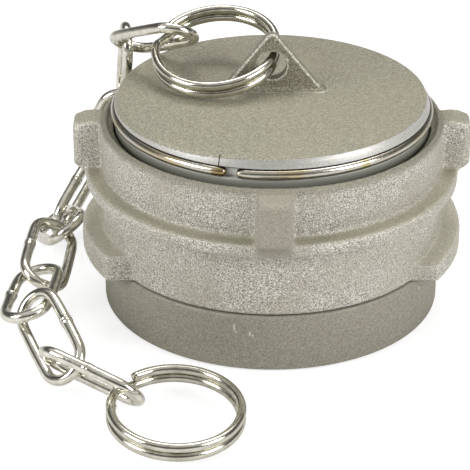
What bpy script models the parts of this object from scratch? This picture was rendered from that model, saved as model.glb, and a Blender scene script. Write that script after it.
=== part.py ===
"""Blank cap for a symmetric quarter-turn hose coupling, with its locking ring and tether chain.

Metres, +Z up. The origin is on the cap's axis, at the middle of the closing plate's inner face.
The cap stands on its seal, closed side up, and the chain lies on the same surface.
"""

import math

import bmesh
import bpy
import numpy as np
from mathutils import Matrix, Vector

MM = 0.001

# Clearances
SEAT_GAP = 0.3 * MM
RUNNING_GAP = 0.3 * MM

# Cap body: every radius outside the cavity is the one inside it plus a wall
CAVITY_DEPTH = 49.4 * MM
CAVITY_RADIUS = 33.5 * MM
CAVITY_FILLET = 4.0 * MM
PLATE_THICKNESS = 4.65 * MM
NECK_WALL = 5.3 * MM
RIM_CHAMFER_WIDTH = 0.95 * MM
RIM_CHAMFER_HEIGHT = 2.3 * MM
SKIRT_HEIGHT = 14.8 * MM
EDGE_BREAK = 0.5 * MM

# Seal and the gland that holds it in the end of the skirt, between an inner and an outer lip
INNER_LIP = 2.1 * MM
GLAND_WIDTH = 4.8 * MM
OUTER_LIP = 1.8 * MM
GLAND_DEPTH = 4.5 * MM
SEAL_PROUD = 0.4 * MM

# Lug on the closing plate
LUG_HALF_BASE = 12.45 * MM
LUG_HEIGHT = 14.6 * MM
LUG_TIP_RADIUS = 2.2 * MM
LUG_THICKNESS = 3.2 * MM
LUG_FRONT_Y = 1.7 * MM
LUG_HOLE_RADIUS = 3.65 * MM
LUG_HOLE_HEIGHT = 6.5 * MM

# Spring wire that keeps the locking ring on the neck
SNAP_WIRE = 2.4 * MM
SNAP_GROOVE_DEPTH = 1.6 * MM
SNAP_OPENING_AT = -105.0
SNAP_OPENING = 3.8

# Locking ring
RING_WALL = 3.1 * MM
RING_TOP_BREAK = 1.0 * MM
FLANGE_REACH = 4.1 * MM
FLANGE_BOTTOM = 17.3 * MM
FLANGE_THICKNESS = 3.4 * MM
FLANGE_ROUND = 0.7 * MM
RIB_REACH = 6.8 * MM
RIB_WIDTH = 8.6 * MM
RIB_COUNT = 4
RIB_ROUND = 0.9 * MM
RIB_TOP_DROP = 1.3 * MM
RIB_FOOT_DROP = 2.0 * MM
RAMP_REACH = 5.3 * MM
RAMP_HALF_ANGLE = 31.8
RAMP_LOW = 4.1 * MM
RAMP_HIGH = 6.7 * MM
RAMP_STEPS = 14

# Split rings: two turns of flat spring wire
SPLIT_RING_RADIUS = 16.25 * MM
SPLIT_WIRE_WIDTH = 2.2 * MM
SPLIT_WIRE_HEIGHT = 2.25 * MM
SPLIT_TURN_GAP = 0.15 * MM
SPLIT_STEP_HALF_ANGLE = 14.0
SPLIT_END_GAP = 2.0

# Tether chain
LINK_WIRE = 2.7 * MM
LINK_LENGTH = 28.4 * MM
LINK_WIDTH = 13.6 * MM
WELD_LENGTH = 2.6 * MM
WELD_SWELL = 1.1

# How the tether lies. Each row is x, y and height in millimetres, then heading, rise and roll.
UPPER_RING_IN_HOLE = (0.0, 0, 0.2)
UPPER_RING_TURN = (-25.0, -1.9, 17.2)
UPPER_RING_STEP_AT = 185
LINKS = (
    (-30.2, 18.8, 62.2, 136.5, -22.6, -146.6),
    (-38.1, 30.9, 47.3, -76.0, 70.1, -96.3),
    (-42.3, 35.5, 26.3, 168.5, -66.2, -95.5),
    (-51.2, 30.6, 11.7, -115.7, -24.8, 77.0),
    (-54.9, 15.0, 10.0, -73.8, 21.8, 32.4),
    (-56.1, -5.8, 12.5, -95.1, -7.2, 150.0),
    (-58.7, -25.2, 12.2, 84.2, -1.4, -14.0),
    (-53.0, -43.2, 10.2, 116.5, 19.7, 132.2),
    (-42.6, -57.1, 7.6, -25.1, -13.1, 129.8),
)
LOWER_RING = (-22.7, -67.3, 3.6, 4.2, -1.9, 5.1)
LOWER_RING_STEP_AT = 145

# Fineness of round shapes
TURN_STEPS = 72
WIRE_SIDES = 8
WIRE_CORNER = 1.04
BEND_STEPS = 8

GLAND_INNER_RADIUS = CAVITY_RADIUS + INNER_LIP
GLAND_OUTER_RADIUS = GLAND_INNER_RADIUS + GLAND_WIDTH
SKIRT_RADIUS = GLAND_OUTER_RADIUS + OUTER_LIP
RIM_RADIUS = CAVITY_RADIUS + NECK_WALL
FACE_Z = -CAVITY_DEPTH
FLOOR_Z = FACE_Z - SEAL_PROUD
SHOULDER_Z = FACE_Z + SKIRT_HEIGHT
PLATE_TOP_Z = PLATE_THICKNESS
RIM_Z = PLATE_TOP_Z - RIM_CHAMFER_HEIGHT
GROOVE_RADIUS = RIM_RADIUS - SNAP_GROOVE_DEPTH
SNAP_RADIUS = GROOVE_RADIUS + SEAT_GAP / 2 + SNAP_WIRE / 2
SNAP_Z = RIM_Z - SEAT_GAP / 2 - SNAP_WIRE / 2
RING_BORE = RIM_RADIUS + RUNNING_GAP
RING_OUTER = RING_BORE + RING_WALL
FLANGE_RADIUS = RING_OUTER + FLANGE_REACH
RIB_RADIUS = RING_OUTER + RIB_REACH
RAMP_RADIUS = RING_OUTER + RAMP_REACH
RING_BOTTOM_Z = SHOULDER_Z + SEAT_GAP
RING_TOP_Z = SNAP_Z - SNAP_WIRE / 2 - SEAT_GAP


def clear_scene():
    for obj in list(bpy.data.objects):
        bpy.data.objects.remove(obj, do_unlink=True)


def material(name, colour, roughness, metallic):
    mat = bpy.data.materials.new(name)
    mat.use_nodes = True
    shader = mat.node_tree.nodes["Principled BSDF"]
    shader.inputs["Base Color"].default_value = (*colour, 1.0)
    shader.inputs["Roughness"].default_value = roughness
    shader.inputs["Metallic"].default_value = metallic
    return mat


def object_from(name, verts, faces, mat=None):
    mesh = bpy.data.meshes.new(name)
    mesh.from_pydata([tuple(v) for v in verts], [], faces)
    mesh.validate()
    bm = bmesh.new()
    bm.from_mesh(mesh)
    bmesh.ops.recalc_face_normals(bm, faces=bm.faces)
    bm.to_mesh(mesh)
    bm.free()
    obj = bpy.data.objects.new(name, mesh)
    bpy.context.scene.collection.objects.link(obj)
    if mat:
        mesh.materials.append(mat)
    return obj


def smooth(obj, angle=35.0):
    obj.data.shade_smooth()
    obj.data.set_sharp_from_angle(angle=math.radians(angle))


def arc(centre, radius, start, end, steps):
    """Points of an arc, with its angles in degrees."""
    points = []
    for k in range(steps + 1):
        angle = math.radians(start + (end - start) * k / steps)
        points.append((centre[0] + radius * math.cos(angle), centre[1] + radius * math.sin(angle)))
    return points


def turned(name, outline, mat=None, steps=TURN_STEPS):
    """A closed (radius, height) outline turned about Z. A point on the axis becomes one vertex."""
    verts = []
    rows = []
    for radius, height in outline:
        if radius < 1e-7:
            rows.append([len(verts)] * steps)
            verts.append((0.0, 0.0, height))
            continue
        rows.append(list(range(len(verts), len(verts) + steps)))
        for k in range(steps):
            angle = 2 * math.pi * k / steps
            verts.append((radius * math.cos(angle), radius * math.sin(angle), height))
    faces = []
    for row, after in zip(rows, rows[1:] + rows[:1]):
        for k in range(steps):
            n = (k + 1) % steps
            corners = []
            for v in (row[k], row[n], after[n], after[k]):
                if v not in corners:
                    corners.append(v)
            if len(corners) > 2:
                faces.append(corners)
    return object_from(name, verts, faces, mat)


def extruded(name, outline, frame, thickness):
    """An outline in the frame's XY plane, drawn out by thickness along the frame's Z."""
    count = len(outline)
    verts = [frame @ Vector((x, y, 0)) for x, y in outline]
    verts += [frame @ Vector((x, y, thickness)) for x, y in outline]
    faces = [list(range(count)), list(range(count, 2 * count))]
    for k in range(count):
        n = (k + 1) % count
        faces.append([k, n, count + n, count + k])
    return object_from(name, verts, faces)


def combine(base, tool, operation):
    """Joins the tool to the base or cuts it away, and removes the tool."""
    modifier = base.modifiers.new(operation.lower(), "BOOLEAN")
    modifier.operation = operation
    modifier.solver = "EXACT"
    modifier.object = tool
    bpy.context.view_layer.update()
    evaluated = base.evaluated_get(bpy.context.evaluated_depsgraph_get())
    result = bpy.data.meshes.new_from_object(evaluated)
    base.modifiers.clear()
    base.data = result
    bpy.data.objects.remove(tool, do_unlink=True)


def swept(name, centres, outs, ups, width, height, mat, closed, swell=None):
    """A wire of oval section along centres. outs and ups are the section's two directions there."""
    sides = WIRE_SIDES
    verts = []
    sizes = swell or [1.0] * len(centres)
    for centre, out, up, size in zip(centres, outs, ups, sizes):
        for k in range(sides):
            angle = 2 * math.pi * (k + 0.5) / sides
            across = WIRE_CORNER * size * width / 2 * math.cos(angle)
            along = WIRE_CORNER * size * height / 2 * math.sin(angle)
            verts.append(centre + out * across + up * along)
    rows = len(centres)
    faces = []
    for r in range(rows if closed else rows - 1):
        a = r * sides
        b = (r + 1) % rows * sides
        for k in range(sides):
            n = (k + 1) % sides
            faces.append([a + k, a + n, b + n, b + k])
    if not closed:
        faces.append(list(range(sides)))
        faces.append(list(range((rows - 1) * sides, rows * sides)))
    obj = object_from(name, verts, faces, mat)
    smooth(obj, 50.0)
    return obj


# Cap body

def body_outline():
    top_radius = RIM_RADIUS - RIM_CHAMFER_WIDTH
    groove_floor = RING_TOP_Z + SEAT_GAP / 2
    fillet = arc((CAVITY_RADIUS - CAVITY_FILLET, -CAVITY_FILLET), CAVITY_FILLET, 0, 90, 4)
    return [
        (CAVITY_RADIUS, FACE_Z + EDGE_BREAK),
        *fillet,
        (0, 0),
        (0, PLATE_TOP_Z),
        (top_radius, PLATE_TOP_Z),
        (RIM_RADIUS, RIM_Z),
        (GROOVE_RADIUS, RIM_Z),
        (GROOVE_RADIUS, groove_floor),
        (RIM_RADIUS, groove_floor),
        (RIM_RADIUS, SHOULDER_Z),
        (SKIRT_RADIUS - EDGE_BREAK, SHOULDER_Z),
        (SKIRT_RADIUS, SHOULDER_Z - EDGE_BREAK),
        (SKIRT_RADIUS, FACE_Z + EDGE_BREAK),
        (SKIRT_RADIUS - EDGE_BREAK, FACE_Z),
        (GLAND_OUTER_RADIUS, FACE_Z),
        (GLAND_OUTER_RADIUS, FACE_Z + GLAND_DEPTH),
        (GLAND_INNER_RADIUS, FACE_Z + GLAND_DEPTH),
        (GLAND_INNER_RADIUS, FACE_Z),
        (CAVITY_RADIUS + EDGE_BREAK, FACE_Z),
    ]


def lug_outline():
    """Triangle with a round tip, from inside the plate up: x across, y up from the plate's top."""
    sunk = PLATE_THICKNESS / 2
    slope = math.degrees(math.atan2(LUG_HEIGHT, LUG_HALF_BASE))
    tip = (0, LUG_HEIGHT - LUG_TIP_RADIUS)
    return [
        (-LUG_HALF_BASE, -sunk),
        (LUG_HALF_BASE, -sunk),
        (LUG_HALF_BASE, 0),
        *arc(tip, LUG_TIP_RADIUS, 90 - slope, 90 + slope, 6),
        (-LUG_HALF_BASE, 0),
    ]


def make_body(mat):
    body = turned("cap_body", body_outline(), mat)
    upright = Matrix.Translation((0, LUG_FRONT_Y + LUG_THICKNESS, PLATE_TOP_Z)) @ Matrix.Rotation(
        math.pi / 2, 4, "X"
    )
    combine(body, extruded("lug", lug_outline(), upright, LUG_THICKNESS), "UNION")
    hole = arc((0, LUG_HOLE_HEIGHT), LUG_HOLE_RADIUS, 0, 360, 24)[:-1]
    through = upright.copy()
    through.translation.y = LUG_FRONT_Y + 2 * LUG_THICKNESS
    combine(body, extruded("lug_hole", hole, through, 3 * LUG_THICKNESS), "DIFFERENCE")
    smooth(body)
    return body


def make_seal(mat):
    inner = GLAND_INNER_RADIUS + SEAT_GAP
    outer = GLAND_OUTER_RADIUS - SEAT_GAP
    top = FACE_Z + GLAND_DEPTH - SEAT_GAP
    seal = turned(
        "face_seal",
        [
            (inner, FLOOR_Z + EDGE_BREAK),
            (inner, top),
            (outer, top),
            (outer, FLOOR_Z + EDGE_BREAK),
            (outer - EDGE_BREAK, FLOOR_Z),
            (inner + EDGE_BREAK, FLOOR_Z),
        ],
        mat,
    )
    smooth(seal)
    return seal


# Locking ring

def ring_outline():
    flange_low = RING_BOTTOM_Z + FLANGE_BOTTOM
    flange_high = flange_low + FLANGE_THICKNESS
    lip = FLANGE_RADIUS - FLANGE_ROUND
    top = (RING_OUTER - RING_TOP_BREAK, RING_TOP_Z - RING_TOP_BREAK)
    return [
        (RING_BORE, RING_BOTTOM_Z),
        (RING_OUTER - EDGE_BREAK, RING_BOTTOM_Z),
        (RING_OUTER, RING_BOTTOM_Z + EDGE_BREAK),
        (RING_OUTER, flange_low),
        *arc((lip, flange_low + FLANGE_ROUND), FLANGE_ROUND, -90, 0, 2),
        *arc((lip, flange_high - FLANGE_ROUND), FLANGE_ROUND, 0, 90, 2),
        (RING_OUTER, flange_high),
        *arc(top, RING_TOP_BREAK, 0, 90, 3),
        (RING_BORE, RING_TOP_Z),
    ]


def rib_outline():
    """Side view of a rib: x outwards, y up."""
    foot = RING_BOTTOM_Z + FLANGE_BOTTOM + FLANGE_THICKNESS
    inside = RING_OUTER - RING_WALL / 2
    return [
        (inside, foot - FLANGE_THICKNESS / 2),
        (FLANGE_RADIUS - FLANGE_ROUND, foot - RIB_FOOT_DROP),
        (RIB_RADIUS - RIB_ROUND, foot),
        (RIB_RADIUS, foot + RIB_ROUND),
        (RIB_RADIUS, RING_TOP_Z - RIB_TOP_DROP - RIB_ROUND),
        (RIB_RADIUS - RIB_ROUND, RING_TOP_Z - RIB_TOP_DROP),
        (RING_OUTER - RING_TOP_BREAK, RING_TOP_Z - RUNNING_GAP),
        (inside, RING_TOP_Z - RUNNING_GAP),
    ]


def make_rib(number):
    """One driving rib, with its four long outer edges rounded as cast."""
    turn = Matrix.Rotation(2 * math.pi * number / RIB_COUNT, 4, "Z")
    # The side view's x, y and depth go to the ring's radius, height and chord.
    side_on = Matrix(((1, 0, 0, 0), (0, 0, -1, RIB_WIDTH / 2), (0, 1, 0, 0), (0, 0, 0, 1)))
    rib = extruded("rib", rib_outline(), turn @ side_on, RIB_WIDTH)
    bm = bmesh.new()
    bm.from_mesh(rib.data)
    outer = [
        edge
        for edge in bm.edges
        if all(v.co.to_2d().length > RING_OUTER for v in edge.verts)
        and abs((edge.verts[0].co - edge.verts[1].co).normalized().dot(turn.col[1].to_3d())) < 0.5
    ]
    bmesh.ops.bevel(bm, geom=outer, offset=RIB_ROUND, segments=2, affect="EDGES", clamp_overlap=True)
    bm.to_mesh(rib.data)
    bm.free()
    return rib


def make_ramp(side):
    """Helical bearing ramp on one side, with both ends cut square to the chord."""
    inner = RING_OUTER - RING_WALL / 2
    low = RING_BOTTOM_Z
    half_chord = RAMP_RADIUS * math.sin(math.radians(RAMP_HALF_ANGLE))
    reach_in = math.asin(half_chord / inner)
    reach_out = math.radians(RAMP_HALF_ANGLE)
    start = 0 if side > 0 else math.pi
    verts = []
    for k in range(RAMP_STEPS + 1):
        share = k / RAMP_STEPS
        high = low + RAMP_LOW + (RAMP_HIGH - RAMP_LOW) * share
        a_in = start + reach_in * (2 * share - 1)
        a_out = start + reach_out * (2 * share - 1)
        edge = RAMP_RADIUS - EDGE_BREAK
        verts += [
            (inner * math.cos(a_in), inner * math.sin(a_in), low),
            (RAMP_RADIUS * math.cos(a_out), RAMP_RADIUS * math.sin(a_out), low),
            (RAMP_RADIUS * math.cos(a_out), RAMP_RADIUS * math.sin(a_out), high - EDGE_BREAK),
            (edge * math.cos(a_out), edge * math.sin(a_out), high),
            (inner * math.cos(a_in), inner * math.sin(a_in), high),
        ]
    faces = [list(range(5)), list(range(5 * RAMP_STEPS, 5 * RAMP_STEPS + 5))]
    for k in range(RAMP_STEPS):
        for c in range(5):
            n = (c + 1) % 5
            faces.append([5 * k + c, 5 * k + n, 5 * k + 5 + n, 5 * k + 5 + c])
    return object_from("ramp", verts, faces)


def make_locking_ring(mat):
    ring = turned("locking_ring", ring_outline(), mat)
    for number in range(RIB_COUNT):
        combine(ring, make_rib(number), "UNION")
    for side in (1, -1):
        combine(ring, make_ramp(side), "UNION")
    smooth(ring)
    return ring


# Wire rings

def make_snap_ring(mat):
    steps = 60
    centres = []
    outs = []
    for k in range(steps + 1):
        angle = math.radians(SNAP_OPENING_AT + SNAP_OPENING / 2 + (360 - SNAP_OPENING) * k / steps)
        out = Vector((math.cos(angle), math.sin(angle), 0))
        outs.append(out)
        centres.append(out * SNAP_RADIUS + Vector((0, 0, SNAP_Z)))
    ups = [Vector((0, 0, 1))] * len(centres)
    return swept("snap_ring", centres, outs, ups, SNAP_WIRE, SNAP_WIRE, mat, closed=False)


def coil_path():
    """A split ring's centreline: two turns, with the step between them where both ends stop."""
    steps = 54
    first = SPLIT_STEP_HALF_ANGLE + SPLIT_END_GAP
    last = 720 - first
    rise = (SPLIT_WIRE_HEIGHT + SPLIT_TURN_GAP) / 2
    radius = SPLIT_RING_RADIUS - SPLIT_WIRE_WIDTH / 2
    angles = [first + (last - first) * k / steps for k in range(steps + 1)]
    angles = [a for a in angles if abs(a - 360) > SPLIT_STEP_HALF_ANGLE]
    angles += [360 + SPLIT_STEP_HALF_ANGLE * share for share in (-1, -0.5, 0, 0.5, 1)]
    points = []
    for angle in sorted(angles):
        share = max(-1.0, min(1.0, (angle - 360) / SPLIT_STEP_HALF_ANGLE))
        turn = math.radians(angle)
        height = rise * math.sin(share * math.pi / 2)
        points.append(Vector((radius * math.cos(turn), radius * math.sin(turn), height)))
    return points


def make_split_ring(name, place, mat):
    path = coil_path()
    turn = place.to_3x3()
    centres = [place @ p for p in path]
    outs = [turn @ Vector((p.x, p.y, 0)).normalized() for p in path]
    ups = [turn @ Vector((0, 0, 1))] * len(path)
    return swept(name, centres, outs, ups, SPLIT_WIRE_WIDTH, SPLIT_WIRE_HEIGHT, mat, closed=False)


def link_path():
    """A link's centreline, long way along X: two half rounds and the weld in one strand."""
    half_width = (LINK_WIDTH - LINK_WIRE) / 2
    half_straight = (LINK_LENGTH - LINK_WIDTH) / 2
    points = arc((half_straight, 0), half_width, -90, 90, BEND_STEPS)
    points += [(x, half_width) for x in (WELD_LENGTH / 2, 0, -WELD_LENGTH / 2)]
    points += arc((-half_straight, 0), half_width, 90, 270, BEND_STEPS)
    return [Vector((x, y, 0)) for x, y in points]


def make_link(name, place, mat):
    path = link_path()
    turn = place.to_3x3()
    half_straight = (LINK_LENGTH - LINK_WIDTH) / 2
    outs = []
    for p in path:
        beyond = math.copysign(max(0.0, abs(p.x) - half_straight), p.x)
        outs.append(turn @ Vector((beyond, p.y, 0)).normalized())
    swell = [1.0] * len(path)
    swell[BEND_STEPS + 2] = WELD_SWELL
    centres = [place @ p for p in path]
    ups = [turn @ Vector((0, 0, 1))] * len(path)
    return swept(name, centres, outs, ups, LINK_WIRE, LINK_WIRE, mat, closed=True, swell=swell)


# Laying out the tether

def pose(x, y, z, heading, tilt, roll):
    """Millimetres from the floor under the cap's axis, and degrees: where it points, rises and rolls."""
    turn = Matrix.Rotation(math.radians(heading), 4, "Z")
    turn = turn @ Matrix.Rotation(-math.radians(tilt), 4, "Y")
    turn = turn @ Matrix.Rotation(math.radians(roll), 4, "X")
    return Matrix.Translation((x * MM, y * MM, FACE_Z + z * MM)) @ turn


def dense(path, closed):
    """Points along a path, close enough together to measure between two of them."""
    points = np.array([tuple(p) for p in path])
    ends = np.roll(points, -1, axis=0)
    if not closed:
        points, ends = points[:-1], ends[:-1]
    shares = np.linspace(0, 1, 12, endpoint=False)[:, None, None]
    return (points + (ends - points) * shares).reshape(-1, 3)


def settle(place, path, closed, fixed, distance):
    """Slides a piece until its wire's centreline passes the fixed one at the given distance."""
    own = dense([place @ p for p in path], closed)
    shift = np.zeros(3)
    for _ in range(30):
        gaps = (own + shift)[:, None] - fixed[None]
        lengths = np.linalg.norm(gaps, axis=2)
        nearest = np.unravel_index(lengths.argmin(), lengths.shape)
        shift += gaps[nearest] / lengths[nearest] * (distance - lengths[nearest]) * 0.7
    return Matrix.Translation(shift) @ place


def upper_ring_place():
    """The ring hangs in the lug's hole and leans on the plate. Its +X points at the hole."""
    hole = Vector((0, LUG_FRONT_Y + LUG_THICKNESS / 2, PLATE_TOP_Z + LUG_HOLE_HEIGHT))
    hole += Vector(UPPER_RING_IN_HOLE) * MM
    heading, tilt, roll = (math.radians(a) for a in UPPER_RING_TURN)
    turn = Matrix.Rotation(heading, 4, "Z") @ Matrix.Rotation(-tilt, 4, "Y")
    turn = turn @ Matrix.Rotation(roll, 4, "X")
    reach = Matrix.Translation((SPLIT_WIRE_WIDTH / 2 - SPLIT_RING_RADIUS, 0, 0))
    coil = Matrix.Rotation(math.radians(UPPER_RING_STEP_AT), 4, "Z")
    return Matrix.Translation(hole) @ turn @ reach @ coil


def make_tether(mat):
    """Every link is laid as photographed and then settled against the piece before it."""
    beside = (max(SPLIT_WIRE_WIDTH, SPLIT_WIRE_HEIGHT) + LINK_WIRE) / 2 * WIRE_CORNER + SEAT_GAP
    link_pitch = LINK_WIRE * WIRE_CORNER + SEAT_GAP
    ring = upper_ring_place()
    make_split_ring("split_ring_upper", ring, mat)
    before = dense([ring @ p for p in coil_path()], False)
    distance = beside
    for number, row in enumerate(LINKS, 1):
        place = settle(pose(*row), link_path(), True, before, distance)
        make_link(f"chain_link_{number:02d}", place, mat)
        before = dense([place @ p for p in link_path()], True)
        distance = link_pitch
    coil = Matrix.Rotation(math.radians(LOWER_RING_STEP_AT), 4, "Z")
    ring = settle(pose(*LOWER_RING) @ coil, coil_path(), False, before, beside)
    make_split_ring("split_ring_lower", ring, mat)


clear_scene()
CAST = material("cast_aluminium", (0.60, 0.58, 0.53), 0.5, 0.85)
STEEL = material("plated_steel", (0.74, 0.72, 0.68), 0.2, 1.0)
SPRING = material("spring_wire", (0.62, 0.54, 0.40), 0.28, 1.0)
RUBBER = material("black_rubber", (0.03, 0.03, 0.03), 0.75, 0.0)
make_body(CAST)
make_seal(RUBBER)
make_locking_ring(CAST)
make_snap_ring(SPRING)
make_tether(STEEL)
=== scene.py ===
"""Looks for the coupling cap: finer wire, soft cast edges, metals, floor, light and camera."""

import math

import bmesh
import bpy
import numpy as np
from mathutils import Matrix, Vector


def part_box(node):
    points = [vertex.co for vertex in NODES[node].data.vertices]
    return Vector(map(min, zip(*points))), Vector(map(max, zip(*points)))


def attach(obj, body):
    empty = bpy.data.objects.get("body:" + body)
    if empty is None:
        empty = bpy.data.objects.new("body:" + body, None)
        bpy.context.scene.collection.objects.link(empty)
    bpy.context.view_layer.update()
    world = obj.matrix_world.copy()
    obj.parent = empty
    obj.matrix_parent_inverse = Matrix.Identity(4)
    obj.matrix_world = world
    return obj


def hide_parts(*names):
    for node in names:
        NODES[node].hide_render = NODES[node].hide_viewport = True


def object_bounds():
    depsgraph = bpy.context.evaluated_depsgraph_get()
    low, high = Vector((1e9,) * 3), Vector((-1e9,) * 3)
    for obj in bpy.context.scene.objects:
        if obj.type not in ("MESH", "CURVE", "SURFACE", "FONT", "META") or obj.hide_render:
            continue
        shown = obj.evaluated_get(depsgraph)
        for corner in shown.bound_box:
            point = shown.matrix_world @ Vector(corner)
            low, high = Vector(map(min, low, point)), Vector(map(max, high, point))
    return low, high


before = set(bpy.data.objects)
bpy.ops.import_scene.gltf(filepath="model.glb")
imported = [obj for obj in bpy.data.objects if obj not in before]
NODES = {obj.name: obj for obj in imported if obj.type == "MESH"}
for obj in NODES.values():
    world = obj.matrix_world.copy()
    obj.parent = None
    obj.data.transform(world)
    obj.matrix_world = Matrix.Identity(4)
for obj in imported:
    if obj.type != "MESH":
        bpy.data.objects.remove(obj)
CAD_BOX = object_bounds()
FLOOR_Z = CAD_BOX[0].z

# Sizes that repeat the part's own, in metres. Heights are measured from the cavity's ceiling, at z 0,
# and the lug's from the plate
BODY_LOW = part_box("cap_body")[0].z
RING_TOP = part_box("locking_ring")[1].z
PLATE_TOP = 0.00465
CHAMFER_WIDTH = 0.00095
CHAMFER_HEIGHT = 0.0023
RIM_Z = PLATE_TOP - CHAMFER_HEIGHT
NECK_RADIUS = 0.0388
GROOVE_RADIUS = 0.0372
CAVITY_RADIUS = 0.0335
CAVITY_FILLET = 0.004
GLAND_OUTER = 0.0404
GLAND_INNER = 0.0356
GLAND_DEPTH = 0.0045
SKIRT_RADIUS = 0.0422
SKIRT_TOP = BODY_LOW + 0.0148
LINK_WIRE_RADIUS = 0.00135
LUG_HALF_BASE = 0.01245
LUG_HEIGHT = 0.0146
LUG_TIP = 0.0022
LUG_FRONT = 0.0017
LUG_BACK = 0.0049
LUG_HOLE = 0.00365
LUG_HOLE_HEIGHT = 0.0065

# Limits of the colours: past the whole part, round the neck, and on the locking ring its ramps'
# ledges, its wall and the rib at the front
FRONT_OF_ALL = -0.06
BELOW_ALL = -0.06
ABOVE_PLATE = 0.006
ABOVE_RING = 0.01
NECK_BAND = (0.0365, 0.0392)
RAMP_TOP = -0.0264
WALL_RADIUS = 0.0424
RIB_HALF_WIDTH = 0.0043
RIB_FOOT = -0.0175

# Size of the cubes that the castings are rebuilt from, and how far each wire swells before rounding
RING_VOXEL = 0.00055
LUG_VOXEL = 0.0003
SPLIT_RING_SWELL = 0.0001
WIRE_SWELL = 0.00011

# Where the scribed line is, in degrees round the axis from +x
SCRIBED_AT = -109.5

# Heat tints on the spring wire: angle in degrees, half width in metres and colour
WIRE_TINTS = ((-109.0, 0.0024, (0.34, 0.25, 0.12)), (-57.5, 0.0022, (0.50, 0.45, 0.23)))

# Worn spots on the skirt: angle in degrees, height, half width and half height in metres
SKIRT_MARKS = (
    (-102.7, -0.0379, 0.00035, 0.0011),
    (-102.2, -0.0392, 0.0003, 0.0004),
    (-97.6, -0.0394, 0.0003, 0.0008),
    (-96.6, -0.0398, 0.0003, 0.0005),
    (-31.0, -0.0380, 0.0004, 0.0006),
    (12.0, -0.0405, 0.0004, 0.0008),
    (64.0, -0.0436, 0.0006, 0.0004),
    (118.0, -0.0398, 0.0004, 0.0010),
    (171.0, -0.0442, 0.0005, 0.0004),
)

# Colours of the castings: dark pits, middle tone and bright facets, and how far apart they lie in the
# grain of the surface
CAST_TONES = {
    "plate": ((0.22, 0.21, 0.155), (0.34, 0.325, 0.25), (0.50, 0.485, 0.395), 0.17),
    "skirt": ((0.21, 0.20, 0.155), (0.305, 0.29, 0.235), (0.42, 0.405, 0.34), 0.2),
    "lug": ((0.14, 0.13, 0.095), (0.245, 0.23, 0.17), (0.46, 0.445, 0.355), 0.16),
    "lug edges": ((0.30, 0.29, 0.235), (0.56, 0.55, 0.47), (0.92, 0.91, 0.83), 0.13),
    "sharp wall": ((0.15, 0.14, 0.11), (0.48, 0.46, 0.395), (0.95, 0.935, 0.88), 0.13),
    "calm wall": ((0.27, 0.255, 0.205), (0.465, 0.445, 0.375), (0.75, 0.735, 0.65), 0.16),
    "ring edges": ((0.30, 0.29, 0.24), (0.56, 0.54, 0.47), (0.96, 0.945, 0.885), 0.14),
    # Painted light and shade: ledges darker than the walls, the ramps' ledges lighter under the
    # flange
    "ledges": ((0.28, 0.265, 0.20), (0.415, 0.395, 0.305), (0.60, 0.58, 0.48), 0.17),
    "ramp ledges painted light": ((0.40, 0.385, 0.30), (0.60, 0.575, 0.47), (0.82, 0.80, 0.70), 0.17),
    # Painted shade: the front rib and the lip are darker than the walls
    "front rib": ((0.25, 0.235, 0.18), (0.36, 0.34, 0.275), (0.50, 0.48, 0.405), 0.2),
    "lip": ((0.18, 0.17, 0.13), (0.285, 0.27, 0.21), (0.43, 0.415, 0.34), 0.18),
}
CAST_ROUGHNESS = (0.3, 0.5), (0.7, 0.66)

# Painted shade in the gap under the chamfer, and dirt in the scribed line
RIM_SHADE_AND_DIRT = (0.05, 0.045, 0.035)

# The camera, fitted to the photo: place in metres, degrees below level, and focal length in pixels
CAMERA_PLACE = (-0.0091, -0.4954, 0.2229)
CAMERA_PITCH = 27.464
FOCAL_PIXELS = 2200
IMAGE_PIXELS = 470
SENSOR_MM = 36.0

# The point that the lamps look at
LAMP_AIM = (0, 0, -0.02)


# Materials

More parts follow.
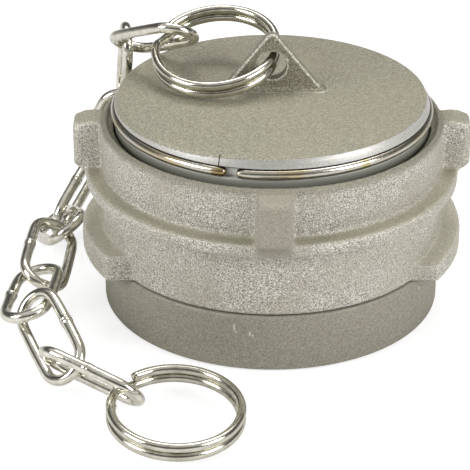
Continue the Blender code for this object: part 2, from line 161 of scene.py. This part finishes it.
class Nodes:
    """A short way to write a material's node tree."""

    def __init__(self, name):
        self.material = bpy.data.materials.new(name)
        self.material.use_nodes = True
        self.tree = self.material.node_tree
        self.shader = self.tree.nodes["Principled BSDF"]
        self.place = self.add("ShaderNodeTexCoord").outputs["Object"]

    def add(self, kind, **values):
        node = self.tree.nodes.new(kind)
        for key, value in values.items():
            setattr(node, key, value)
        return node

    def link(self, output, target):
        self.tree.links.new(output, target)

    def math(self, operation, a, b=0.0, clamp=False):
        node = self.add("ShaderNodeMath", operation=operation, use_clamp=clamp)
        for socket, value in zip(node.inputs, (a, b)):
            if isinstance(value, (int, float)):
                socket.default_value = value
            else:
                self.link(value, socket)
        return node.outputs[0]

    def product(self, value, *others):
        for other in others:
            value = self.math("MULTIPLY", value, other)
        return value

    def total(self, value, *others):
        for other in others:
            value = self.math("ADD", value, other)
        return value

    def noise(self, size, detail=2.0, stretch=(1, 1, 1), rough=0.5):
        """Noise with features of about the given size in metres."""
        mapping = self.add("ShaderNodeMapping")
        mapping.inputs["Scale"].default_value = [s / size for s in stretch]
        self.link(self.place, mapping.inputs["Vector"])
        node = self.add("ShaderNodeTexNoise")
        node.inputs["Scale"].default_value = 1.0
        node.inputs["Detail"].default_value = detail
        node.inputs["Roughness"].default_value = rough
        self.link(mapping.outputs[0], node.inputs["Vector"])
        return node.outputs["Fac"]

    def ramp(self, value, *stops):
        """Colour or grey by a value. The stops are (position, grey or colour)."""
        node = self.add("ShaderNodeValToRGB")
        elements = node.color_ramp.elements
        while len(elements) < len(stops):
            elements.new(0.5)
        for element, (position, colour) in zip(elements, stops):
            if isinstance(colour, (int, float)):
                colour = (colour,) * 3
            element.position = position
            element.color = (*colour, 1)
        self.link(value, node.inputs[0])
        return node.outputs[0]

    def mix(self, share, a, b):
        node = self.add("ShaderNodeMix", data_type="RGBA")
        for socket, value in ((node.inputs[0], share), (node.inputs[6], a), (node.inputs[7], b)):
            if isinstance(value, tuple):
                socket.default_value = (*value, 1)
            elif isinstance(value, (int, float)):
                socket.default_value = value
            else:
                self.link(value, socket)
        return node.outputs[2]

    def set_metallic(self, value):
        self.shader.inputs["Metallic"].default_value = value

    def drive(self, name, value):
        """Links a value to one of the shader's inputs."""
        self.link(value, self.shader.inputs[name])

    def relief(self, height, strength, distance):
        """Links a bump of the given height to the shader."""
        node = self.add("ShaderNodeBump")
        node.inputs["Strength"].default_value = strength
        node.inputs["Distance"].default_value = distance
        self.link(height, node.inputs["Height"])
        self.drive("Normal", node.outputs[0])

    def parts(self, vector):
        """x, y and z of a vector."""
        split = self.add("ShaderNodeSeparateXYZ")
        self.link(vector, split.inputs[0])
        return split.outputs

    def position(self):
        """x, y and z on the part itself, whatever its pose."""
        return self.parts(self.place)

    def radius(self, x, y):
        return self.math("SQRT", self.total(self.product(x, x), self.product(y, y)))

    def beside(self, x, y, turn):
        """Distance sideways from the line that leaves the axis at an angle in degrees."""
        sine, cosine = math.sin(math.radians(turn)), math.cos(math.radians(turn))
        return self.math("SUBTRACT", self.product(x, sine), self.product(y, cosine))

    def ahead(self, x, y, turn):
        """Distance along that line."""
        sine, cosine = math.sin(math.radians(turn)), math.cos(math.radians(turn))
        return self.total(self.product(x, cosine), self.product(y, sine))

    def upward(self, low, high):
        """1 on faces that look up on the part itself, 0 on upright ones."""
        normal = self.parts(self.add("ShaderNodeTexCoord").outputs["Normal"])
        return self.ramp(normal[2], (low, 0.0), (high, 1.0))

    def edges(self, low, high):
        """1 along outer edges, 0 on flat and hollow places."""
        pointiness = self.add("ShaderNodeNewGeometry").outputs["Pointiness"]
        return self.ramp(pointiness, (low, 0.0), (high, 1.0))

    def mark(self, x, y, z, turn, height, half_width, half_height):
        """1 on a small worn spot with a ragged edge. Its angle round the axis is in degrees."""
        limit = 1.6
        near_side = 0.03, 0.06
        wide = self.math("DIVIDE", self.beside(x, y, turn), half_width)
        high = self.math("DIVIDE", self.math("SUBTRACT", z, height), half_height)
        ragged = self.product(self.noise(0.0005, 2.0), limit)
        far = self.total(self.product(wide, wide), self.product(high, high), ragged)
        inside = self.math("DIVIDE", self.math("SUBTRACT", limit, far), 0.5, clamp=True)
        return self.product(inside, self.between(self.ahead(x, y, turn), *near_side))

    def between(self, value, low, high, soft=0.0001):
        """1 inside a range, with a soft edge."""
        above = self.math("DIVIDE", self.math("SUBTRACT", value, low - soft), 2 * soft, clamp=True)
        below = self.math("DIVIDE", self.math("SUBTRACT", high + soft, value), 2 * soft, clamp=True)
        return self.product(above, below)

    def grains(self, size, rough, pit_size):
        """The fine facets of shot blasting, the wider pits under them, and both as one height."""
        grit = self.noise(size, 3.0, rough=rough)
        pits = self.noise(pit_size, 2.0)
        return grit, pits, self.total(grit, self.product(pits, 0.8))


def cast_colour(n, grit, tone):
    low, middle, high, spread = CAST_TONES[tone]
    return n.ramp(grit, (0.5 - spread, low), (0.5, middle), (0.5 + spread, high))


def cast_lug_metal():
    """The lug is blasted less hard than the plate: it is darker, with bright grains on its edges."""
    n = Nodes("cast_lug")
    grit, pits, height = n.grains(0.00041, 0.65, 0.0012)
    face = cast_colour(n, grit, "lug")
    n.drive("Base Color", n.mix(n.edges(0.508, 0.535), face, cast_colour(n, grit, "lug edges")))
    n.drive("Roughness", n.ramp(pits, *CAST_ROUGHNESS))
    n.set_metallic(0.35)
    n.relief(height, 0.6, 0.00016)
    return n.material


def cast_body_metal():
    """Blasted plate and skirt, a rim cut bright, and the neck between them."""
    n = Nodes("cast_body")
    x, y, z = n.position()
    radius = n.radius(x, y)
    grit, pits, height = n.grains(0.00041, 0.65, 0.0012)
    clouds = n.ramp(n.noise(0.02, 3.0), (0.4, 0.0), (0.7, 0.3))
    plate = n.mix(clouds, cast_colour(n, grit, "plate"), (0.40, 0.365, 0.27))
    skirt = cast_colour(n, grit, "skirt")
    for spot in SKIRT_MARKS:
        skirt = n.mix(n.mark(x, y, z, *spot), skirt, (0.60, 0.59, 0.53))
    colour = n.mix(n.between(z, BELOW_ALL, SKIRT_TOP + 0.0001), plate, skirt)

    # The rim is cut bright, down to a ragged edge where the blasted skin starts. On the side towards
    # -x the bright cut is made narrow, so that the chamfer there keeps the plate's tone: painted
    # shade for the side that gets less light
    lines = n.noise(0.0004, 1.0, stretch=(0.02, 0.02, 1))
    rim_metal = n.ramp(lines, (0.3, (0.52, 0.515, 0.50)), (0.7, (0.64, 0.635, 0.62)))
    speckle = n.ramp(n.noise(0.0006, 3.0, rough=0.7), (0.4, 0.0), (0.62, 0.55))
    rim_metal = n.mix(speckle, rim_metal, (0.45, 0.43, 0.36))
    ragged = n.product(n.math("SUBTRACT", grit, 0.5), 0.0006)
    shade_side_shift = n.product(n.math("MINIMUM", x, 0.0), 0.018)
    rim = n.between(n.total(radius, ragged, shade_side_shift), 0.03785, NECK_BAND[1], 0.00005)
    rim = n.product(rim, n.between(z, RIM_Z - 0.0001, ABOVE_PLATE))
    colour = n.mix(rim, colour, rim_metal)

    # Below the spring wire the neck is painted darker towards the locking ring's lip: painted shade
    # from the lip and the wire
    steel = n.ramp(lines, (0.3, (0.72, 0.73, 0.70)), (0.7, (0.93, 0.94, 0.91)))
    depth = n.math("DIVIDE", n.math("SUBTRACT", RING_TOP, z), 0.0028, clamp=True)
    painted_neck_shade = n.ramp(
        depth, (0.0, (0.46, 0.46, 0.42)), (0.35, (0.30, 0.305, 0.27)), (0.9, (0.11, 0.11, 0.09)))
    neck = n.product(n.between(radius, *NECK_BAND), n.between(z, SKIRT_TOP + 0.0004, RIM_Z))
    colour = n.mix(neck, colour, n.mix(n.between(z, BELOW_ALL, RING_TOP + 0.0001), steel, painted_neck_shade))

    # Painted shade in the gap between the chamfer's foot and the wire, and one dark scribed line
    # across the chamfer
    gap_shade = n.between(z, RIM_Z - 0.0003, RIM_Z + 0.00018, 0.00005)
    colour = n.mix(n.product(n.between(radius, *NECK_BAND), gap_shade), colour, RIM_SHADE_AND_DIRT)
    half_line = 0.00014
    scribed = n.product(
        n.between(n.beside(x, y, SCRIBED_AT), -half_line, half_line, 0.00004),
        n.between(y, FRONT_OF_ALL, -0.02),
        n.between(radius, GROOVE_RADIUS, NECK_BAND[1]),
        n.between(z, RIM_Z, ABOVE_PLATE))
    colour = n.mix(scribed, colour, RIM_SHADE_AND_DIRT)
    n.drive("Base Color", colour)

    # The cut faces are smoother than the cast ones, and the rim is the most metallic
    cut = n.math("MAXIMUM", rim, neck)
    n.drive("Roughness", n.mix(cut, n.ramp(pits, *CAST_ROUGHNESS), (0.45, 0.45, 0.45)))
    n.drive("Metallic", n.total(n.product(rim, 0.3), 0.35))
    n.relief(n.product(height, n.math("SUBTRACT", 1.0, cut)), 0.5, 0.00014)
    return n.material


def cast_ring_metal():
    """Hard-blasted walls with bright edges, with painted shade on the ledges, front rib and lip, and
    painted light on the ramps' ledges.
    """
    n = Nodes("cast_ring")
    x, y, z = n.position()
    grit, pits, height = n.grains(0.0003, 0.7, 0.0010)
    clouds = n.ramp(n.noise(0.013, 3.0), (0.38, 0.15), (0.6, 1.0))
    cast = n.mix(clouds, cast_colour(n, grit, "calm wall"), cast_colour(n, grit, "sharp wall"))
    stains = n.ramp(n.noise(0.009, 4.0), (0.52, 0.0), (0.75, 0.35))
    cast = n.mix(stains, cast, (0.36, 0.325, 0.245))

    # Ledges look up and get a tone of their own, painted shade against the walls. Those of the
    # ramps are the lowest and are painted lighter, to make up for the flange's shade: painted light
    on_ramp = n.between(z, BELOW_ALL, RAMP_TOP)
    ledges = n.mix(on_ramp, cast_colour(n, grit, "ledges"), cast_colour(n, grit, "ramp ledges painted light"))
    cast = n.mix(n.upward(0.4, 0.85), cast, ledges)
    cast = n.mix(n.edges(0.515, 0.57), cast, cast_colour(n, grit, "ring edges"))

    # The front rib and the lip beside the neck are painted darker and more even than the walls:
    # painted shade, on the rib against the light it catches, and on the lip beside the wire
    front_rib_shade = n.product(
        n.between(x, -RIB_HALF_WIDTH, RIB_HALF_WIDTH, 0.0006),
        n.between(y, FRONT_OF_ALL, -WALL_RADIUS, 0.0006),
        n.between(z, RIB_FOOT, ABOVE_RING, 0.0015))
    cast = n.mix(front_rib_shade, cast, cast_colour(n, grit, "front rib"))
    # Painted shade: the lip beside the wire is darker than the walls
    lip = n.product(
        n.between(n.radius(x, y), 0.037, WALL_RADIUS, 0.0004),
        n.between(z, RING_TOP - 0.0022, ABOVE_RING, 0.0006))
    cast = n.mix(lip, cast, cast_colour(n, grit, "lip"))
    n.drive("Base Color", cast)
    n.drive("Roughness", n.ramp(pits, (0.3, 0.44), (0.7, 0.6)))
    n.set_metallic(0.4)
    n.relief(height, 0.8, 0.00018)
    return n.material


def plated(name, low, high):
    """Bright plating that goes from a low to a high colour in soft clouds."""
    n = Nodes(name)
    haze = n.noise(0.0022, 3.0)
    scuffs = n.noise(0.0005, 2.0, stretch=(1, 1, 0.35))
    n.drive("Base Color", n.ramp(haze, (0.3, low), (0.7, high)))
    n.drive("Roughness", n.ramp(scuffs, (0.35, 0.1), (0.75, 0.22)))
    n.set_metallic(1.0)
    n.relief(haze, 0.16, 0.0001)
    return n.material


def spring_metal():
    """Polished spring steel, straw coloured in places, with two heat tints."""
    n = Nodes("spring_wire")
    haze = n.noise(0.010, 3.0)
    temper = n.ramp(
        haze, (0.38, (0.60, 0.58, 0.53)), (0.52, (0.57, 0.53, 0.44)), (0.66, (0.53, 0.45, 0.30)))
    x, y, z = n.position()
    for turn, half_width, tint in WIRE_TINTS:
        temper = n.mix(n.mark(x, y, z, turn, RING_TOP + 0.0006, half_width, 0.003), temper, tint)
    n.drive("Base Color", temper)
    n.drive("Roughness", n.ramp(n.noise(0.0006, 2.0), (0.3, 0.14), (0.7, 0.26)))
    n.set_metallic(1.0)
    n.relief(n.noise(0.003, 2.0), 0.1, 0.0001)
    return n.material


def rubber():
    """Black rubber with a grey bloom."""
    n = Nodes("seal_rubber")
    bloom = n.noise(0.003, 3.0)
    n.drive("Base Color", n.ramp(bloom, (0.35, (0.016, 0.016, 0.017)), (0.75, 0.05)))
    n.drive("Roughness", n.ramp(bloom, (0.3, 0.62), (0.7, 0.8)))
    n.relief(n.noise(0.0004, 2.0), 0.2, 0.0001)
    return n.material


# Pieces

def copy_of(node, name):
    """A new object with the CAD node's shape, its split vertices joined again."""
    join_within = 0.00001
    mesh = NODES[node].data.copy()
    mesh.name = name
    obj = bpy.data.objects.new(name, mesh)
    bpy.context.scene.collection.objects.link(obj)
    if "custom_normal" in mesh.attributes:
        mesh.attributes.remove(mesh.attributes["custom_normal"])
    bm = bmesh.new()
    bm.from_mesh(mesh)
    bmesh.ops.remove_doubles(bm, verts=bm.verts, dist=join_within)
    bm.to_mesh(mesh)
    bm.free()
    return obj


def applied(obj):
    """Bakes the object's modifiers into its mesh."""
    evaluated = obj.evaluated_get(bpy.context.evaluated_depsgraph_get())
    mesh = bpy.data.meshes.new_from_object(evaluated)
    obj.modifiers.clear()
    obj.data = mesh
    return obj


def stand_in(obj, node, body, mat):
    """Puts the object in a CAD node's place, on its body and with its material."""
    obj.data.materials.clear()
    obj.data.materials.append(mat)
    obj.data.shade_smooth()
    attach(obj, body)
    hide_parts(node)


def round_wire(node, name, swell, levels):
    """The CAD wire with a round section. It swells first by what the subdivision takes away."""
    flat_enough = 0.7
    square_enough = 1.2
    obj = copy_of(node, name)
    mesh = obj.data
    bm = bmesh.new()
    bm.from_mesh(mesh)
    bmesh.ops.join_triangles(
        bm, faces=bm.faces, angle_face_threshold=flat_enough, angle_shape_threshold=square_enough,
        cmp_seam=False, cmp_sharp=False, cmp_uvs=False, cmp_vcols=False, cmp_materials=False,
    )
    bm.normal_update()
    for vert in bm.verts:
        vert.co += vert.normal * swell
    for edge in bm.edges:
        edge.smooth = True
    bm.to_mesh(mesh)
    bm.free()
    subdivide = obj.modifiers.new("round", "SUBSURF")
    subdivide.levels = levels
    subdivide.render_levels = levels
    return applied(obj)


def softened(obj, voxel, passes):
    """The object with every edge and corner rounded, as it leaves a sand mould and the blasting."""
    remesh = obj.modifiers.new("remesh", "REMESH")
    remesh.mode = "VOXEL"
    remesh.voxel_size = voxel
    relax = obj.modifiers.new("relax", "SMOOTH")
    relax.factor = 0.5
    relax.iterations = passes
    return applied(obj)


def mesh_piece(name, verts, faces):
    """A new object of the given points and faces, with every face turned outwards."""
    mesh = bpy.data.meshes.new(name)
    mesh.from_pydata(verts, [], faces)
    bm = bmesh.new()
    bm.from_mesh(mesh)
    bmesh.ops.recalc_face_normals(bm, faces=bm.faces)
    bm.to_mesh(mesh)
    bm.free()
    obj = bpy.data.objects.new(name, mesh)
    bpy.context.scene.collection.objects.link(obj)
    return obj


def tube_faces(per, rows):
    """Faces of a closed tube: rows of points, so many per row, with a cap at both ends."""
    last = (rows - 1) * per
    faces = [list(range(per)), list(range(last, last + per))]
    for low in range(0, last, per):
        high = low + per
        for k in range(per):
            following = (k + 1) % per
            faces.append([low + k, low + following, high + following, high + k])
    return faces


def arc(centre, radius, start, end, steps):
    """Points along part of a circle, from one angle in degrees to another."""
    points = []
    for k in range(steps + 1):
        angle = math.radians(start + (end - start) * k / steps)
        points.append((centre[0] + radius * math.cos(angle), centre[1] + radius * math.sin(angle)))
    return points


def body_outline():
    """The cap's own outline, (radius, height), with every edge broken as it is on the real one."""
    rim = math.degrees(math.atan2(CHAMFER_HEIGHT, CHAMFER_WIDTH))
    edge = 0.0002
    edge_centre = (0.03772, PLATE_TOP - edge)
    foot = 0.00015
    foot_centre = (NECK_RADIUS - 0.00016, RIM_Z + 0.0001)
    soft = 0.0008
    mouth = 0.0005
    groove_foot = RING_TOP + 0.00015
    gland_top = BODY_LOW + GLAND_DEPTH
    return [
        (CAVITY_RADIUS, BODY_LOW + mouth),
        *arc((CAVITY_RADIUS - CAVITY_FILLET, -CAVITY_FILLET), CAVITY_FILLET, 0, 90, 8),
        (0, 0), (0, PLATE_TOP),
        *arc(edge_centre, edge, 90, 90 - rim, 3),
        *arc(foot_centre, foot, 90 - rim, -90, 3),
        (GROOVE_RADIUS, RIM_Z - 0.00005), (GROOVE_RADIUS, groove_foot),
        (NECK_RADIUS - 0.0001, groove_foot), (NECK_RADIUS, RING_TOP + 0.00005),
        (NECK_RADIUS, SKIRT_TOP),
        *arc((SKIRT_RADIUS - soft, SKIRT_TOP - soft), soft, 90, 0, 4),
        *arc((SKIRT_RADIUS - soft, BODY_LOW + soft), soft, 0, -90, 4),
        (GLAND_OUTER, BODY_LOW), (GLAND_OUTER, gland_top),
        (GLAND_INNER, gland_top), (GLAND_INNER, BODY_LOW),
        (CAVITY_RADIUS + mouth, BODY_LOW),
    ]


def turned_body():
    """The outline turned round the axis. A point on the axis stays one point."""
    steps = 240
    verts = []
    rows = []
    for radius, height in body_outline():
        if radius == 0:
            rows.append([len(verts)] * steps)
            verts.append((0, 0, height))
            continue
        rows.append(list(range(len(verts), len(verts) + steps)))
        for k in range(steps):
            angle = 2 * math.pi * k / steps
            verts.append((radius * math.cos(angle), radius * math.sin(angle), height))
    faces = []
    for row, beyond in zip(rows, rows[1:] + rows[:1]):
        for k in range(steps):
            following = (k + 1) % steps
            corners = list(dict.fromkeys((row[k], row[following], beyond[following], beyond[k])))
            if len(corners) > 2:
                faces.append(corners)
    return mesh_piece("body_casting", verts, faces)


def lug_hole_cutter():
    """A round bar through the lug, where its hole is."""
    sides = 48
    overshoot = 0.01
    verts = []
    for y in (LUG_FRONT - overshoot, LUG_BACK + overshoot):
        for k in range(sides):
            angle = 2 * math.pi * k / sides
            height = PLATE_TOP + LUG_HOLE_HEIGHT + LUG_HOLE * math.sin(angle)
            verts.append((LUG_HOLE * math.cos(angle), y, height))
    return mesh_piece("lug_hole_cutter", verts, tube_faces(sides, 2))


def lug_casting():
    """The lug in level slices, rectangles with round corners, flared where it meets the plate."""
    root = 0.0006
    flare = 0.0016
    corner = 0.0005
    thinning = 0.0004
    per = 24
    middle = (LUG_FRONT + LUG_BACK) / 2
    tip_centre = LUG_HEIGHT - LUG_TIP
    slope = math.atan2(LUG_HEIGHT, LUG_HALF_BASE)
    tangent = tip_centre + LUG_TIP * math.cos(slope)
    apex = LUG_TIP / math.cos(slope) + LUG_HEIGHT - LUG_TIP
    levels = [-root, 0.0, 0.0001, 0.0003, 0.0006, 0.001, flare]
    levels += [flare + (tangent - flare) * k / 10 for k in range(1, 11)]
    levels += [tip_centre + LUG_TIP * math.sin(math.radians(a)) for a in (40, 55, 68, 78, 85)]
    verts = []
    for level in sorted(levels):
        lifted = min(max(level, 0.0), flare)
        out = flare - math.sqrt(flare ** 2 - (flare - lifted) ** 2)
        tip_rise = level - tip_centre
        side = LUG_HALF_BASE * (1 - max(level, 0) / apex)
        if level > tangent:
            side = math.sqrt(max(LUG_TIP ** 2 - tip_rise ** 2, 0))
        half = (LUG_BACK - LUG_FRONT) / 2
        if tip_rise > 0:
            half -= thinning * (tip_rise / LUG_TIP) ** 2
        round_by = min(corner + out, side * 0.9)
        for k in range(per):
            angle = 2 * math.pi * (k + 0.5) / per
            cosine, sine = math.cos(angle), math.sin(angle)
            x = math.copysign(side + out - round_by, cosine) + round_by * cosine
            y = middle + math.copysign(half + out - round_by, sine) + round_by * sine
            verts.append((x, y, PLATE_TOP + level))
    lug = mesh_piece("lug_casting", verts, tube_faces(per, len(levels)))
    hole = lug_hole_cutter()
    cut = lug.modifiers.new("hole", "BOOLEAN")
    cut.operation = "DIFFERENCE"
    cut.solver = "EXACT"
    cut.object = hole
    softened(lug, LUG_VOXEL, 3)
    bpy.data.objects.remove(hole, do_unlink=True)
    return lug


def soft_step(value, start, end):
    """0 before start and 1 after end, with a soft bend at both."""
    share = min(max((value - start) / (end - start), 0.0), 1.0)
    return share * share * (3 - 2 * share)


def round_ring_top(obj):
    """Shapes the ring's lip: round outside, and low beside the neck, under the wire."""
    lip_drop = 0.0007
    inner_drop = 0.0017
    inner_end, outer_start = 0.0403, 0.0409
    bend = 0.0022
    reach = 0.008
    lip_radius = 0.0013
    outer = SKIRT_RADIUS
    foot = RING_TOP - reach
    lip_centre = RING_TOP - lip_drop - lip_radius
    for vert in obj.data.vertices:
        radius = math.hypot(vert.co.x, vert.co.y)
        if vert.co.z < foot or radius > outer + bend:
            continue
        share = (vert.co.z - foot) / reach
        drop = lip_drop * (1 - soft_step(radius, outer + 0.0002, outer + bend))
        drop += inner_drop * (1 - soft_step(radius, inner_end, outer_start))
        vert.co.z -= drop * share
        across = radius - (outer - lip_radius)
        above = vert.co.z - lip_centre
        far = math.hypot(across, above)
        if radius <= outer + 0.0001 and across > 0 and above > 0 and far > lip_radius:
            pull = lip_radius / far
            new_radius = outer - lip_radius + across * pull
            vert.co.x *= new_radius / radius
            vert.co.y *= new_radius / radius
            vert.co.z = lip_centre + above * pull
    obj.data.update()


def weld_place(node):
    """Middle of a link's welded strand, and the link's long and wide directions."""
    near_middle = 0.0004
    points = np.array([tuple(v.co) for v in NODES[node].data.vertices])
    points = np.unique(points.round(6), axis=0)
    centre = points.mean(0)
    spread = np.linalg.svd(points - centre, full_matrices=False)[2]
    local = (points - centre) @ spread.T
    centre = centre + (local.max(0) + local.min(0)) / 2 @ spread
    local = (points - centre) @ spread.T
    wide = local[np.abs(local[:, 0]) < near_middle, 1]
    strand = wide[wide > 0] if (wide > 0).sum() >= (wide < 0).sum() else wide[wide < 0]
    spot = centre + np.array([0, (strand.max() + strand.min()) / 2, 0]) @ spread
    return Vector(spot), Vector(spread[0]), Vector(spread[1])


def weld_burr(node):
    """The upset ring that butt welding leaves round one strand of each link."""
    spot, along, across = weld_place(node)
    third = along.cross(across)
    # Place along the strand in metres and radius in wire radii
    outline = (
        (-0.0016, 0.96), (-0.0010, 1.05), (-0.0005, 1.15), (-0.00015, 1.13), (0.0, 1.02),
        (0.00015, 1.14), (0.0005, 1.16), (0.0010, 1.04), (0.0016, 0.96),
    )
    per = 28
    verts = []
    for reach, size in outline:
        for k in range(per):
            angle = 2 * math.pi * k / per
            uneven = 1 + 0.02 * math.sin(3 * angle + 1.3) + 0.012 * math.sin(5 * angle)
            outwards = across * math.cos(angle) + third * math.sin(angle)
            verts.append(spot + along * reach + outwards * (LINK_WIRE_RADIUS * size * uneven))
    return mesh_piece(node + "_weld", verts, tube_faces(per, len(outline)))


plated_ring = plated("plated_ring", (0.49, 0.47, 0.39), (0.71, 0.69, 0.605))
plated_link = plated("plated_link", (0.60, 0.58, 0.50), (0.87, 0.85, 0.77))

NODES["face_seal"].data.materials.clear()
NODES["face_seal"].data.materials.append(rubber())

body = turned_body()
stand_in(body, "cap_body", "cap", cast_body_metal())
body.data.set_sharp_from_angle(angle=math.radians(32))
stand_in(lug_casting(), "cap_body", "cap", cast_lug_metal())
ring = softened(copy_of("locking_ring", "ring_casting"), RING_VOXEL, 2)
round_ring_top(ring)
stand_in(ring, "locking_ring", "locking_ring", cast_ring_metal())
snap_wire = round_wire("snap_ring", "snap_wire", WIRE_SWELL, 1)
stand_in(snap_wire, "snap_ring", "cap", spring_metal())
for node in ("split_ring_upper", "split_ring_lower"):
    wire = round_wire(node, node + "_wire", SPLIT_RING_SWELL, 2)
    stand_in(wire, node, node, plated_ring)
for node in sorted(NODES):
    if node.startswith("chain_link"):
        wire = round_wire(node, node + "_wire", WIRE_SWELL, 2)
        stand_in(wire, node, node, plated_link)
        stand_in(weld_burr(node), node, node, plated_link)


# Floor, light and camera

def finish_tree(tree, output_kind, seen, unseen):
    """Ends a node tree with one shader for what the camera sees and another for all other light."""
    rays = tree.nodes.new("ShaderNodeLightPath")
    mix = tree.nodes.new("ShaderNodeMixShader")
    tree.links.new(rays.outputs["Is Camera Ray"], mix.inputs[0])
    tree.links.new(unseen.outputs[0], mix.inputs[1])
    tree.links.new(seen.outputs[0], mix.inputs[2])
    output = tree.nodes.new(output_kind)
    tree.links.new(mix.outputs[0], output.inputs[0])


def floor_white():
    """Plain white floor. The camera sees it nearly even, with a faint shadow under the object."""
    mat = bpy.data.materials.new("floor_white")
    mat.use_nodes = True
    tree = mat.node_tree
    tree.nodes.clear()
    plain = tree.nodes.new("ShaderNodeBsdfDiffuse")
    plain.inputs[0].default_value = (0.85, 0.85, 0.85, 1)
    thin = tree.nodes.new("ShaderNodeBsdfDiffuse")
    thin.inputs[0].default_value = (0.4, 0.4, 0.4, 1)
    glow = tree.nodes.new("ShaderNodeEmission")
    glow.inputs[1].default_value = 0.74
    seen = tree.nodes.new("ShaderNodeAddShader")
    tree.links.new(thin.outputs[0], seen.inputs[0])
    tree.links.new(glow.outputs[0], seen.inputs[1])
    finish_tree(tree, "ShaderNodeOutputMaterial", seen, plain)
    return mat


floor_mesh = bpy.data.meshes.new("floor")
reach = 4.0
corners = [(x * reach, y * reach, FLOOR_Z) for x, y in ((-1, -1), (1, -1), (1, 1), (-1, 1))]
floor_mesh.from_pydata(corners, [], [(0, 1, 2, 3)])
floor = bpy.data.objects.new("floor", floor_mesh)
bpy.context.scene.collection.objects.link(floor)
floor_mesh.materials.append(floor_white())


def make_world():
    """White to the camera. To the metal it is a pale studio with a darker end behind the camera."""
    world = bpy.data.worlds.new("studio")
    bpy.context.scene.world = world
    world.use_nodes = True
    tree = world.node_tree
    tree.nodes.clear()
    coords = tree.nodes.new("ShaderNodeTexCoord")
    split = tree.nodes.new("ShaderNodeSeparateXYZ")
    tree.links.new(coords.outputs["Generated"], split.inputs[0])
    up = tree.nodes.new("ShaderNodeValToRGB")
    # How far up the light comes from, and how bright it is there
    stops = ((0.0, 0.7), (0.14, 0.5), (0.28, 0.14), (0.58, 0.1), (0.76, 0.6), (1.0, 0.75))
    while len(up.color_ramp.elements) < len(stops):
        up.color_ramp.elements.new(0.5)
    for element, (position, grey) in zip(up.color_ramp.elements, stops):
        element.position = position
        element.color = (grey, grey * 0.98, grey * 0.95, 1)
    tree.links.new(split.outputs[2], up.inputs[0])
    studio = tree.nodes.new("ShaderNodeBackground")
    tree.links.new(up.outputs[0], studio.inputs[0])
    studio.inputs[1].default_value = 0.9
    white = tree.nodes.new("ShaderNodeBackground")
    white.inputs[0].default_value = (1, 1, 1, 1)
    finish_tree(tree, "ShaderNodeOutputWorld", white, studio)


def softbox(name, place, size, power):
    data = bpy.data.lights.new(name, "AREA")
    data.shape = "RECTANGLE"
    data.size, data.size_y = size
    data.energy = power
    lamp = bpy.data.objects.new(name, data)
    bpy.context.scene.collection.objects.link(lamp)
    lamp.location = place
    lamp.rotation_mode = "QUATERNION"
    lamp.rotation_quaternion = (Vector(LAMP_AIM) - Vector(place)).to_track_quat("-Z", "Y")


make_world()
softbox("key", (0.82, -0.48, 0.5), (0.5, 0.5), 6.6)
softbox("fill", (-0.85, -0.45, 0.5), (0.5, 0.5), 6.2)
softbox("top", (0.1, 0.4, 0.9), (0.7, 0.4), 3.6)

camera_data = bpy.data.cameras.new("camera")
camera_data.sensor_width = SENSOR_MM
camera_data.lens = SENSOR_MM * FOCAL_PIXELS / IMAGE_PIXELS
camera_data.clip_start = 0.01
camera_data.clip_end = 20.0
camera = bpy.data.objects.new("camera", camera_data)
bpy.context.scene.collection.objects.link(camera)
camera.location = CAMERA_PLACE
camera.rotation_euler = (math.radians(90 - CAMERA_PITCH), 0, 0)
bpy.context.scene.camera = camera
bpy.context.scene.view_settings.view_transform = "Standard"
